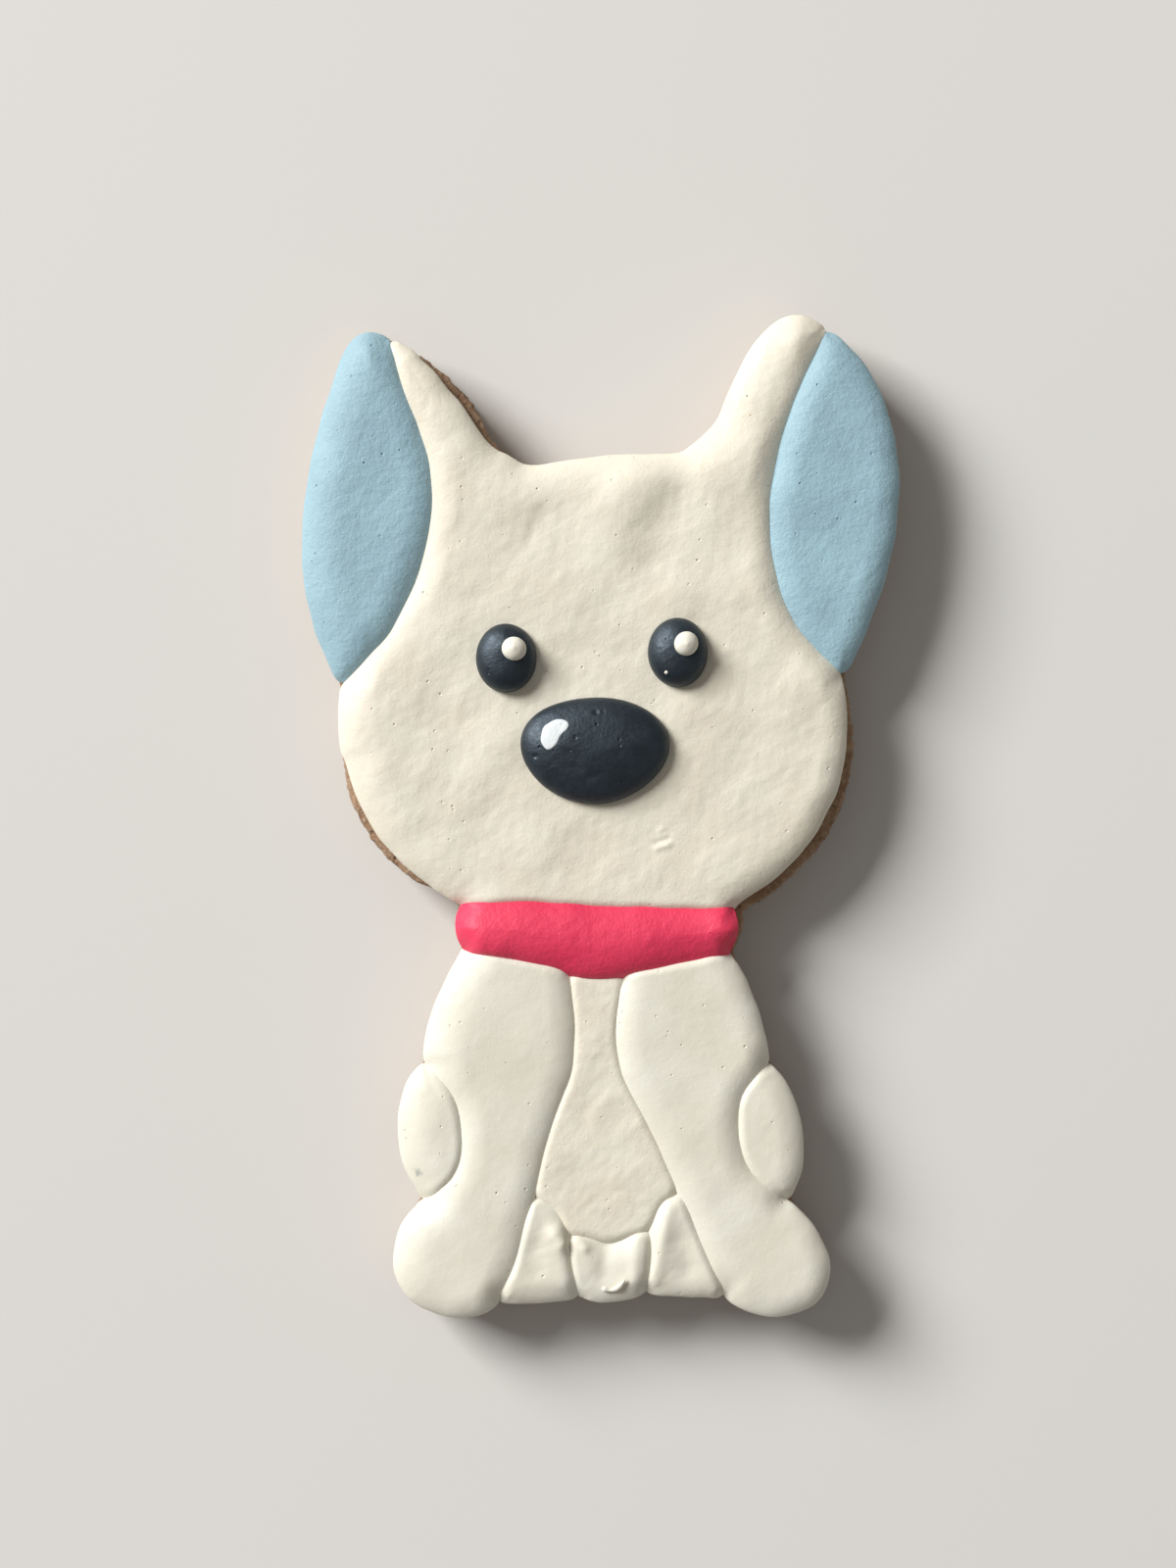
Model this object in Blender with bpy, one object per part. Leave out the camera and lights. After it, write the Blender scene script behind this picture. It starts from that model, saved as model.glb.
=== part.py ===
"""A sugar biscuit cut as a sitting puppy and flooded with royal icing, lying flat with its iced face up.

The puppy is drawn once as a flat map in millimetres: x to the right, y up from the paws, x = 0 on
the centre line. A point of the map is the complex number x + iy. Edge curves meet at shared
corners, and each patch of icing is the loop of the edges round it, so that neighbouring patches
always fit. Heights are in millimetres above the table. Everything is shrunk to metres at the end.
"""

import bmesh
import bpy
import numpy as np
from mathutils import Vector
from mathutils.geometry import delaunay_2d_cdt

MM = 0.001

# Thicknesses.
BISCUIT = 6.5
GAP = 0.3
ICING_FOOT = BISCUIT + GAP
HEAD_ICING = 2.4
EAR_ICING = 2.3
COLLAR_ICING = 3.1
FORELEG_ICING = 2.5
HAUNCH_ICING = 2.1
FOOT_ICING = 2.2
TUFT_ICING = 2.0
CHEST_ICING = 1.9
NOSE_HEIGHT = 2.7
EYE_HEIGHT = 2.2
BEAD_HEIGHT = 1.1
GLINT_HEIGHT = 0.4

# The biscuit's side, from its foot to its flat top: how far in from its outline, and height.
BISCUIT_PROFILE = (
    (0.45, 0.0),
    (0.0, 0.6),
    (-0.12, BISCUIT / 2),
    (0.0, BISCUIT - 0.9),
    (0.15, BISCUIT - 0.3),
    (0.5, BISCUIT),
)

# How far in from its outline a patch of icing keeps rounding over, and the share of its height
# that stands straight up at the outline.
ICING_EDGE = 1.7
COLLAR_EDGE = 2.4
EYE_EDGE = 3.1
NOSE_EDGE = 5.2
BEAD_EDGE = 1.2
GLINT_EDGE = 0.8
ICING_LIP = 0.3

# The rings of points within an outline, as shares of the way in to where its top is flat.
PLAIN_RINGS = (0.3, 1.0)
FINE_RINGS = (0.12, 0.42, 1.0)
DOME_RINGS = (0.1, 0.3, 0.6, 1.0)
GLINT_RINGS = (1.0,)

# Levels of the map, up from the paws.
CROWN_Y = 96.0
EAR_FOOT_Y = 71.4
EYE_Y = 74.2
NOSE_Y = 63.8
CHIN_Y = 46.1
COLLAR_FOOT_Y = 41.0
HAUNCH_TOP_Y = 28.4
HAUNCH_FOOT_Y = 13.4
TUFT_Y = 9.6
SOLE_Y = 2.0

# Half widths of the map, out from the centre line.
CROWN_X = 8.6
EAR_FOOT_X = 28.2
NECK_X = 15.2
CHEST_X = 2.9
HAUNCH_TOP_X = 19.3
HAUNCH_FOOT_X = 20.3
TUFT_X = 4.4
SOLE_X = 12.6

# The face.
EYE_X = 9.6
EYE_SIZE = (3.3, 3.8)
BEAD_OFFSET = 0.85 + 0.95j
BEAD_RADIUS = 1.3
NOSE_SIZE = (8.2, 5.9)
NOSE_TAPER = 0.13
GLINT_OFFSET = -4.6 + 1.9j
GLINT_SIZE = (1.9, 0.95)
GLINT_TURN = 52.0

# Where the biscuit peeps out past the icing: place, reach round it, and how far it shows.
PEEPS = (
    (-25.5 + 54.0j, 9.0, 0.85),
    (26.5 + 57.0j, 12.0, 1.25),
    (18.0 + 47.0j, 6.0, 0.7),
    (-15.5 + 102.5j, 6.0, 1.15),
)

# Softening of corners, and spacing of points along a straight outline.
ICING_SOFTNESS = 0.5
BISCUIT_SOFTNESS = 0.9
FINE_STEP = 0.2
LONGEST_STEP = 2.0
STEPS_PER_RADIAN = 1.0


def plane(*points):
    """Points of the map from (x, y) pairs."""
    return np.array([complex(x, y) for x, y in points])


def through(points):
    """A smooth open curve through the points: Catmull-Rom, with 24 steps to each span."""
    padded = np.concatenate([[2 * points[0] - points[1]], points, [2 * points[-1] - points[-2]]])
    before, start, end, after = (padded[k : len(points) - 1 + k, None] for k in range(4))
    t = np.linspace(0, 1, 24, endpoint=False)
    spans = 0.5 * (
        2 * start
        + (end - before) * t
        + (2 * before - 5 * start + 4 * end - after) * t**2
        + (3 * start - before - 3 * end + after) * t**3
    )
    return np.append(spans.ravel(), points[-1])


def mirrored(edge):
    """The same edge on the other side of the centre line."""
    return -edge.conj()


def back(edge):
    """The same edge, run from its end to its start."""
    return edge[::-1]


def hand_made(points):
    """The small unevenness of a biscuit cut and iced by hand: the head tips a little, the body leans."""
    x, y = points.real, points.imag
    above_chin = np.clip((y - CHIN_Y) / 60, 0, 1)
    below_chin = np.clip((CHIN_Y - y) / CHIN_Y, 0, 1)
    across = x + 1.6 * below_chin + 0.45 * np.sin(y / 7.5 + 1.0) + 0.8 * above_chin**2
    up = y + 0.045 * x * above_chin + 0.35 * np.sin(x / 6.0 + y / 15.0)
    return across + 1j * up


def evenly(loop, step):
    """The closed loop as points about a step apart."""
    ends = np.append(loop, loop[0])
    along = np.append(0, np.cumsum(np.abs(np.diff(ends))))
    at = np.linspace(0, along[-1], max(8, round(along[-1] / step)), endpoint=False)
    return np.interp(at, along, ends.real) + 1j * np.interp(at, along, ends.imag)


def softened(loop, softness):
    """The loop with its corners blurred by a bell curve that is softness millimetres wide."""
    loop = evenly(loop, FINE_STEP)
    per_mm = np.fft.fftfreq(len(loop), FINE_STEP)
    return np.fft.ifft(np.fft.fft(loop) * np.exp(-2 * (np.pi * per_mm * softness) ** 2))


def anticlockwise(loop):
    """The loop, turned round if it ran clockwise."""
    area = (loop.conj() * np.roll(loop, -1)).imag.sum()
    return loop if area > 0 else loop[::-1]


def grown(loop, distance):
    """The anticlockwise loop moved outwards by a distance, or by one for each point."""
    ahead = np.roll(loop, -1) - np.roll(loop, 1)
    return loop - 1j * distance * ahead / np.abs(ahead)


def thinned(loop):
    """The loop on as few points as it needs: they close up where it turns."""
    step = np.roll(loop, -1) - loop
    turn = np.abs(np.angle(step / np.roll(step, 1)))
    effort = np.cumsum(np.abs(step) / LONGEST_STEP + turn * STEPS_PER_RADIAN)
    count = int(np.ceil(effort[-1]))
    at = np.linspace(0, effort[-1], count, endpoint=False)
    ends, effort = np.append(loop, loop[0]), np.append(0, effort)
    return np.interp(at, effort, ends.real) + 1j * np.interp(at, effort, ends.imag)


def distance_to(outline, points):
    """How far each point is from the nearest stretch of the outline."""
    start = outline[None]
    run = np.roll(outline, -1)[None] - start
    from_start = points[:, None] - start
    share = np.clip((from_start * run.conj()).real / np.abs(run) ** 2, 0, 1)
    return np.abs(from_start - share * run).min(axis=1)


def inside(outline, points):
    """Whether each point is inside: a ray to its right crosses the outline an odd number of times."""
    start, end = outline[None], np.roll(outline, -1)[None]
    level = points.imag[:, None]
    crosses = (start.imag > level) != (end.imag > level)
    rise = np.where(crosses, end.imag - start.imag, 1.0)
    crossing = start.real + (level - start.imag) * (end.real - start.real) / rise
    return (crosses & (points.real[:, None] < crossing)).sum(axis=1) % 2 == 1


def oval(centre, size, taper=0.0, turn=0.0):
    """An ellipse of half sizes (x, y), wider at its top by the taper, turned by so many degrees."""
    angle = np.linspace(0, 2 * np.pi, 180, endpoint=False)
    across = size[0] * np.cos(angle) * (1 + taper * np.sin(angle))
    shape = across + 1j * size[1] * np.sin(angle)
    return centre + shape * np.exp(1j * np.radians(turn))


# The edges of the map, right half. Each starts or ends on the corners that it shares.
EAR_FOOT = (EAR_FOOT_X, EAR_FOOT_Y)
CROWN_CORNER = (CROWN_X, CROWN_Y)
NECK = (NECK_X, CHIN_Y)
COLLAR_FOOT = (NECK_X - 0.3, COLLAR_FOOT_Y)
CHEST_TOP = (CHEST_X, 38.3)
HAUNCH_TOP = (HAUNCH_TOP_X, HAUNCH_TOP_Y)
HAUNCH_FOOT = (HAUNCH_FOOT_X, HAUNCH_FOOT_Y)
FOOT_TOP = (7.9, 13.8)
TUFT_CORNER = (TUFT_X, TUFT_Y)
SOLE = (SOLE_X, SOLE_Y)
TUFT_SOLE = (3.5, SOLE_Y + 0.4)

half_crown = through(plane((0.0, CROWN_Y + 0.5), (CROWN_X / 2, CROWN_Y + 0.3), CROWN_CORNER))
jaw = through(plane(EAR_FOOT, (28.5, 66.2), (27.6, 60.2), (24.8, 54.2), (20.4, 49.4), NECK))
half_collar_top = through(plane((0.0, CHIN_Y + 0.1), (8.0, CHIN_Y + 0.3), NECK))
collar_end = through(plane(NECK, (NECK_X + 0.7, (CHIN_Y + COLLAR_FOOT_Y) / 2), COLLAR_FOOT))
collar_foot = through(plane(COLLAR_FOOT, (9.2, 39.7), CHEST_TOP))
half_collar_dip = through(plane(CHEST_TOP, (1.5, 37.9), (0.0, 37.8)))
shoulder = through(plane(COLLAR_FOOT, (17.2, 36.8), (18.7, 32.6), HAUNCH_TOP))
leg_inner = through(plane(CHEST_TOP, (2.2, 32.6), (2.6, 27.4), (4.7, 22.4), (6.5, 18.0), FOOT_TOP))
leg_low = through(plane(FOOT_TOP, (9.3, 10.0), (10.6, 6.0), SOLE))
haunch_inner = through(plane(HAUNCH_TOP, (16.5, 25.0), (15.8, 20.6), (16.9, 16.4), HAUNCH_FOOT))
haunch_outer = through(plane(HAUNCH_TOP, (21.3, 26.2), (22.5, 21.6), (22.2, 17.0), HAUNCH_FOOT))
paw = through(
    plane(HAUNCH_FOOT, (23.2, 9.8), (24.4, 5.6), (22.8, 1.8), (18.8, 0.1), (14.9, 0.5), SOLE)
)
foot_sole = through(plane(SOLE, (8.2, 1.9), TUFT_SOLE))
foot_front = through(plane(TUFT_SOLE, (4.1, 6.0), TUFT_CORNER))
foot_back = through(plane(TUFT_CORNER, (5.7, 12.2), FOOT_TOP))
half_tuft_top = through(plane(TUFT_CORNER, (2.4, 9.0), (0.0, 8.3)))
half_tuft_sole = through(plane(TUFT_SOLE, (2.0, 1.8), (0.0, 1.7)))


class Ear:
    """The edges of one ear. Its blue panel and its ivory front part at the split, near the tip."""

    def __init__(self, split, front, tip):
        self.front = through(plane(CROWN_CORNER, *front, split))
        low = ((33.3, 91.8), (32.8, 84.4), (30.9, 77.4), EAR_FOOT)
        self.outer = through(plane(split, *tip, *low))
        low = ((22.4, 104.8), (20.1, 98.6), (19.0, 92.0), (19.8, 84.4), (22.8, 77.0), EAR_FOOT)
        self.inner = through(plane(split, *low))


EARS = {
    "right": Ear(
        split=(25.4, 110.2),
        front=((12.4, 99.2), (14.7, 104.2), (17.6, 109.1), (21.6, 111.9)),
        tip=((29.4, 105.4), (32.2, 98.8)),
    ),
    "left": Ear(
        split=(24.0, 111.2),
        front=((12.9, 98.9), (16.4, 103.8), (20.2, 108.6)),
        tip=((26.8, 111.7), (29.0, 109.2), (30.8, 104.6), (32.5, 98.6)),
    ),
}


def whole(half, left_half=None):
    """A loop across the centre line, from the edges of its right half, which start and end on it.

    Its left half mirrors the right, unless it has edges of its own.
    """
    right, left = (np.concatenate(edges) for edges in (half, left_half or half))
    return np.concatenate([right, back(mirrored(left))])


def patch(loop):
    """The outline of a patch of icing: uneven, with soft corners and half the gap to its neighbours."""
    outline = softened(anticlockwise(hand_made(loop)), ICING_SOFTNESS)
    inner = grown(outline, -GAP / 2)
    return softened(inner[distance_to(outline, inner) > 0.97 * GAP / 2], ICING_SOFTNESS / 2)


def biscuit_outline():
    """The outer edges of the whole puppy, with the biscuit showing past the icing here and there."""
    body = [jaw, collar_end, shoulder, haunch_outer, paw, foot_sole, half_tuft_sole]
    right, left = ([half_crown, ear.front, ear.outer, *body] for ear in EARS.values())
    loop = softened(anticlockwise(hand_made(whole(right, left))), BISCUIT_SOFTNESS)
    shown = sum(extra * np.exp(-((np.abs(loop - at) / reach) ** 2)) for at, reach, extra in PEEPS)
    return grown(loop, shown)


def quarter_round(share):
    """Height of a rounded edge, 0 at the outline and 1 where it meets the flat top."""
    return np.sqrt(np.clip(1 - (1 - np.clip(share, 0, 1)) ** 2, 0, 1))


class Pillow:
    """A closed cushion of icing over an outline, on a level foot or on another pillow."""

    def __init__(self, outline, height, edge=ICING_EDGE, foot=ICING_FOOT, below=None):
        self.outline = thinned(outline)
        self.height, self.edge, self.level, self.below = height, edge, foot, below

    def foot(self, points):
        """Height of its underside, which follows what it lies on."""
        if self.below is None:
            return np.full(len(points), self.level)
        return self.below.top(points) + GAP

    def top(self, points):
        """Height of its upper side: straight up by the lip, then rounded over to the flat."""
        share = distance_to(self.outline, points) / self.edge
        rise = ICING_LIP + (1 - ICING_LIP) * quarter_round(share)
        return self.foot(points) + self.height * rise

    def points(self, rings):
        """Its outline, then rings of points inside it at these shares of its rounded edge."""
        found = [self.outline]
        for share in rings:
            ring = grown(self.outline, -share * self.edge)
            far_enough = distance_to(self.outline, ring) > 0.93 * share * self.edge
            found.append(ring[far_enough & inside(self.outline, ring)])
        return np.concatenate(found)


def triangles(points, rim):
    """Delaunay triangles of the points within the loop that the first rim points make."""
    flat = [Vector((p.real, p.imag)) for p in points]
    made, _, faces, *_ = delaunay_2d_cdt(flat, [], [list(range(rim))], 1, 1e-5)
    return np.array([v.x + 1j * v.y for v in made]), [list(f) for f in faces]


def add_object(name, mesh, material, parent):
    """Links the mesh as a named object that hangs on the parent."""
    mesh.materials.append(material)
    mesh.shade_smooth()
    mesh.set_sharp_from_angle(angle=np.radians(50))
    thing = bpy.data.objects.new(name, mesh)
    thing.parent = parent
    bpy.context.scene.collection.objects.link(thing)
    return thing


def add_vertices(build, points, z):
    """New vertices of the bmesh over points of the map, at these heights."""
    spots = np.stack([points.real, points.imag, z], axis=1) * MM
    return [build.verts.new(spot) for spot in spots]


def add_wall(build, low, high):
    """Faces between two loops of as many vertices."""
    for k in range(len(low)):
        ahead = (k + 1) % len(low)
        build.faces.new([low[k], low[ahead], high[ahead], high[k]])


def mesh_of(build, name):
    """The bmesh as a mesh, with its faces pointing out."""
    bmesh.ops.recalc_face_normals(build, faces=build.faces)
    mesh = bpy.data.meshes.new(name)
    build.to_mesh(mesh)
    build.free()
    return mesh


def add_pillow(name, pillow, material, parent, rings=PLAIN_RINGS):
    """Makes the pillow a solid. Its underside has inner points only where it isn't level."""
    rim = len(pillow.outline)
    points, faces = triangles(pillow.points(rings), rim)
    under, under_faces = (points, faces) if pillow.below else triangles(pillow.outline, rim)
    build = bmesh.new()
    high = add_vertices(build, points, pillow.top(points))
    low = add_vertices(build, under, pillow.foot(under))
    for face in faces:
        build.faces.new([high[k] for k in face])
    for face in under_faces:
        build.faces.new([low[k] for k in reversed(face)])
    add_wall(build, low[:rim], high[:rim])
    return add_object(name, mesh_of(build, name), material, parent)


def add_biscuit(material, parent):
    """The baked slab, as rings of its outline: (how far in, height)."""
    outline = thinned(biscuit_outline())
    build = bmesh.new()
    rings = [
        add_vertices(build, grown(outline, -inset), np.full(len(outline), height))
        for inset, height in BISCUIT_PROFILE
    ]
    for low, high in zip(rings, rings[1:]):
        add_wall(build, low, high)
    ends = [build.faces.new(reversed(rings[0])), build.faces.new(rings[-1])]
    bmesh.ops.triangulate(build, faces=ends)
    return add_object("biscuit", mesh_of(build, "biscuit"), material, parent)


def material_of(name, hex_colour, roughness):
    """A Principled material from an sRGB hex colour."""
    channels = np.array([int(hex_colour[k : k + 2], 16) / 255 for k in (0, 2, 4)])
    linear = np.where(channels > 0.04045, ((channels + 0.055) / 1.055) ** 2.4, channels / 12.92)
    material = bpy.data.materials.new(name)
    material.use_nodes = True
    shader = material.node_tree.nodes["Principled BSDF"]
    shader.inputs["Base Color"].default_value = (*linear, 1.0)
    shader.inputs["Roughness"].default_value = roughness
    shader.inputs["Metallic"].default_value = 0.0
    return material


def add_patches(colours, parent):
    """The patches of flooded icing that lie straight on the biscuit. Returns the head's pillow."""
    low = [jaw, back(half_collar_top)]
    right, left = ([half_crown, ear.front, ear.inner, *low] for ear in EARS.values())
    head = Pillow(patch(whole(right, left)), HEAD_ICING)
    add_pillow("head_icing", head, colours["ivory"], parent, FINE_RINGS)

    collar_loop = [half_collar_top, collar_end, collar_foot, half_collar_dip]
    collar = Pillow(patch(whole(collar_loop)), COLLAR_ICING, edge=COLLAR_EDGE)
    add_pillow("collar_icing", collar, colours["crimson"], parent, FINE_RINGS)

    chest_loop = [back(half_collar_dip), leg_inner, back(foot_back), half_tuft_top]
    chest = Pillow(patch(whole(chest_loop)), CHEST_ICING)
    add_pillow("chest_icing", chest, colours["ivory"], parent)

    tuft_loop = [back(half_tuft_top), back(foot_front), half_tuft_sole]
    tuft = Pillow(patch(whole(tuft_loop)), TUFT_ICING)
    add_pillow("tuft_icing", tuft, colours["white"], parent)

    leg_loop = [back(collar_foot), shoulder, haunch_inner, paw, back(leg_low), back(leg_inner)]
    haunch_loop = [haunch_outer, back(haunch_inner)]
    foot_loop = [leg_low, foot_sole, foot_front, foot_back]
    for side, ear in EARS.items():
        paired = (
            ("ear_icing", [ear.outer, back(ear.inner)], EAR_ICING, "blue", FINE_RINGS),
            ("foreleg_icing", leg_loop, FORELEG_ICING, "white", FINE_RINGS),
            ("haunch_icing", haunch_loop, HAUNCH_ICING, "white", PLAIN_RINGS),
            ("hind_foot_icing", foot_loop, FOOT_ICING, "white", PLAIN_RINGS),
        )
        for name, edges, height, colour, rings in paired:
            loop = np.concatenate(edges)
            pillow = Pillow(patch(loop if side == "right" else mirrored(loop)), height)
            add_pillow(f"{name}_{side}", pillow, colours[colour], parent, rings)
    return head


def add_face(colours, parent, on_head):
    """The domed eyes and nose, which lie on the head's icing, with a white bead or glint on each."""
    for side, x in (("right", EYE_X), ("left", -EYE_X)):
        centre = hand_made(plane((x, EYE_Y)))[0]
        eye = Pillow(oval(centre, EYE_SIZE), EYE_HEIGHT, edge=EYE_EDGE, foot=on_head)
        add_pillow(f"eye_{side}", eye, colours["charcoal"], parent, DOME_RINGS)
        round_bead = oval(centre + BEAD_OFFSET, (BEAD_RADIUS, BEAD_RADIUS))
        bead = Pillow(round_bead, BEAD_HEIGHT, edge=BEAD_EDGE, below=eye)
        add_pillow(f"eye_bead_{side}", bead, colours["white"], parent)

    centre = hand_made(plane((0.0, NOSE_Y)))[0]
    nose = Pillow(oval(centre, NOSE_SIZE, NOSE_TAPER), NOSE_HEIGHT, edge=NOSE_EDGE, foot=on_head)
    add_pillow("nose", nose, colours["charcoal"], parent, DOME_RINGS)
    bean = oval(centre + GLINT_OFFSET, GLINT_SIZE, turn=GLINT_TURN)
    glint = Pillow(bean, GLINT_HEIGHT, edge=GLINT_EDGE, below=nose)
    add_pillow("nose_glint", glint, colours["white"], parent, GLINT_RINGS)


def centre_on_table(parent):
    """Moves the parent so that the middle of the cookie's box stands over the origin."""
    bpy.context.view_layer.update()
    corners = [
        thing.matrix_world @ Vector(corner) for thing in parent.children for corner in thing.bound_box
    ]
    box = np.array(corners)
    middle = (box.min(axis=0) + box.max(axis=0)) / 2
    parent.location = (-middle[0], -middle[1], 0.0)


def main():
    for thing in list(bpy.data.objects):
        bpy.data.objects.remove(thing)
    cookie = bpy.data.objects.new("cookie", None)
    bpy.context.scene.collection.objects.link(cookie)
    colours = {
        "dough": material_of("baked_dough", "A9805B", 0.85),
        "ivory": material_of("ivory_icing", "E6DECA", 0.5),
        "white": material_of("white_icing", "EAE8DB", 0.5),
        "blue": material_of("blue_icing", "A1C1CC", 0.5),
        "crimson": material_of("crimson_icing", "D8395A", 0.42),
        "charcoal": material_of("charcoal_icing", "24292F", 0.4),
    }
    add_biscuit(colours["dough"], cookie)
    head = add_patches(colours, cookie)
    add_face(colours, cookie, on_head=head.level + head.height + GAP)
    centre_on_table(cookie)


main()
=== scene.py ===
"""A sugar biscuit cut as a sitting puppy and iced by hand, lying face up on a pale table.

The biscuit and its icing are worked out in millimetres. Seen from above, a point is the complex
number x + iy, and an outline is a closed anticlockwise loop of such points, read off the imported
part. Everything is shrunk to metres as it goes into a mesh.
"""

from typing import NamedTuple

import bpy
import numpy as np
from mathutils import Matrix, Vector
from mathutils.geometry import delaunay_2d_cdt


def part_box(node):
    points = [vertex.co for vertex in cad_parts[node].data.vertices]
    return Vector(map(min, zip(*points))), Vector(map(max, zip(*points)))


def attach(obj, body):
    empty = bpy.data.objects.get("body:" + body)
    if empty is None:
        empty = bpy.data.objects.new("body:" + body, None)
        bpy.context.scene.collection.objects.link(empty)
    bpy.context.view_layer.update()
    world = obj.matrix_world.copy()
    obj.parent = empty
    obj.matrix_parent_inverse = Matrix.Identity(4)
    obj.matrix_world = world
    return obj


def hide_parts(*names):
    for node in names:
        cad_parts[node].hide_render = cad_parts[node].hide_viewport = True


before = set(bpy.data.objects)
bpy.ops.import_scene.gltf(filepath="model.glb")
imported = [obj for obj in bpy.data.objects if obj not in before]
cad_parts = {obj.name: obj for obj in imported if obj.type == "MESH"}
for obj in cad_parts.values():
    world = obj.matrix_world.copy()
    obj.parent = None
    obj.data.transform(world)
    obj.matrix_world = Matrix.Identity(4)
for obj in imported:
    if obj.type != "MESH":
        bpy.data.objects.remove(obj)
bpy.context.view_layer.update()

MM = 0.001

# Spacing of points along outlines, on the icing's face, on its small piped pieces and on the
# biscuit's face and foot, and the insets of the rings of points next to an icing's rim.
RIM_STEP = 0.26
ICING_STEP = 0.27
FINE_STEP = 0.16
BISCUIT_STEP = 0.9
FOOT_STEP = 0.6
RING_INSETS = np.array([0.03, 0.09, 0.2, 0.36, 0.56, 0.8])

# The CAD solids stop 0.3 mm short of each other, so half of that is how much one grows to meet
# another.
MEET = 0.15

# How far an icing's wall runs down into what it lies on.
SINK = 0.35

BISCUIT_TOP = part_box("biscuit")[1].z / MM
SEED = 20

# CAD points that agree to so many decimals of a millimetre are one point, and a CAD face looks up
# where its normal rises by more than this share of the normal's length.
SAME_DECIMALS = 4
LOOKS_UP = 0.03

# The smallest length that counts, and the most pairs of a point and a span to work out at once.
TINY = 1e-6
MOST_PAIRS = 3_000_000


# Outlines


def outline_of(node):
    """The outline of a CAD solid: the border of its faces that look up, walked once round."""
    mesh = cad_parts[node].data
    spots = np.empty(len(mesh.vertices) * 3)
    mesh.vertices.foreach_get("co", spots)
    corners = np.empty(len(mesh.loops), int)
    mesh.loops.foreach_get("vertex_index", corners)
    rounded = np.round(spots.reshape(-1, 3) / MM, SAME_DECIMALS)
    spots, merged = np.unique(rounded, axis=0, return_inverse=True)
    faces = merged.reshape(-1)[corners].reshape(-1, 3)
    a, b, c = spots[faces].transpose(1, 0, 2)
    normal = np.cross(b - a, c - a)
    up = faces[normal[:, 2] > LOOKS_UP * np.linalg.norm(normal, axis=1)]
    start, end = up.ravel(), np.roll(up, -1, axis=1).ravel()
    border = ~np.isin(start * len(spots) + end, end * len(spots) + start)
    ahead = dict(zip(start[border].tolist(), end[border].tolist()))
    walk = [start[border][0]]
    while ahead[walk[-1]] != walk[0]:
        walk.append(ahead[walk[-1]])
    return spots[walk, 0] + 1j * spots[walk, 1]


def evenly(loop, step):
    """The loop's points moved along it to equal steps: a straight walk between its points."""
    ends = np.append(loop, loop[0])
    along = np.append(0, np.cumsum(np.abs(np.diff(ends))))
    at = np.linspace(0, along[-1], round(along[-1] / step), endpoint=False)
    return np.interp(at, along, ends.real) + 1j * np.interp(at, along, ends.imag)


def softened(values, step, width):
    """Values at equal steps along a loop, blurred along it by a bell curve of this width."""
    per_mm = np.fft.fftfreq(len(values), step)
    soft = np.fft.ifft(np.fft.fft(values) * np.exp(-2 * (np.pi * per_mm * width) ** 2))
    return soft if np.iscomplexobj(values) else soft.real


def smooth(loop, step=RIM_STEP, width=0.22):
    """A curve through the loop: cubic Hermite spans whose tangents are those of the parabola
    through each point and its two neighbours, then the least blur that hides the joints."""
    gap = np.abs(np.roll(loop, -1) - loop)
    before = np.roll(gap, 1)
    slope = (np.roll(loop, -1) - loop) / gap
    tangent = (slope * before + np.roll(slope, 1) * gap) / (gap + before)
    points_a_span = 16
    t = np.linspace(0, 1, points_a_span, endpoint=False)
    start, end = loop[:, None], np.roll(loop, -1)[:, None]
    leave, arrive = (tangent * gap)[:, None], (np.roll(tangent, -1) * gap)[:, None]
    curve = (
        start * (1 + 2 * t) * (1 - t) ** 2
        + leave * t * (1 - t) ** 2
        + end * t**2 * (3 - 2 * t)
        + arrive * t**2 * (t - 1)
    )
    return softened(evenly(curve.ravel(), step), step, width)


def grown(loop, distance):
    """The loop moved outwards along its normals, by one distance or one for each point."""
    ahead = np.roll(loop, -1) - np.roll(loop, 1)
    return loop - 1j * distance * ahead / np.abs(ahead)


def spans(loop, kept=slice(None)):
    """Starts and ends of the straight spans of a loop, or of those of them that are kept."""
    return loop[kept], np.roll(loop, -1)[kept]


def in_blocks(points, others, measure):
    """A measure of each point against all the others, worked out a block of points at a time."""
    blocks = np.array_split(points, 1 + len(points) * others // MOST_PAIRS)
    return np.concatenate([measure(block[:, None]) for block in blocks])


def nearest(points, start, end):
    """Distance from each point to the nearest of the spans from start to end."""
    run = end - start

    def distance(block):
        away = block - start
        share = np.clip((away * run.conj()).real / np.abs(run) ** 2, 0, 1)
        return np.abs(away - share * run).min(axis=1)

    return in_blocks(points, len(start), distance)


def depth_in(loop, points):
    """How far each point is inside the loop: the distance to its nearest side, negative outside.

    A point is inside where a ray to its right crosses the loop an odd number of times.
    """
    start, end = spans(loop)
    run = end - start

    def within(block):
        crossed = (start.imag > block.imag) != (end.imag > block.imag)
        reach = start.real + (block.imag - start.imag) * run.real / np.where(crossed, run.imag, 1)
        return (crossed & (block.real < reach)).sum(axis=1) % 2 == 1

    away = nearest(points, start, end)
    return np.where(in_blocks(points, len(start), within), away, -away)


# Relief


def bell(value):
    """A bell curve: 1 at 0 and towards 0 on both sides of it."""
    return np.exp(-(value**2))


def eased(value, low, high):
    """0 below low, 1 above high and a smooth S between them."""
    share = np.clip((value - low) / (high - low), 0, 1)
    return share * share * (3 - 2 * share)


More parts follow.
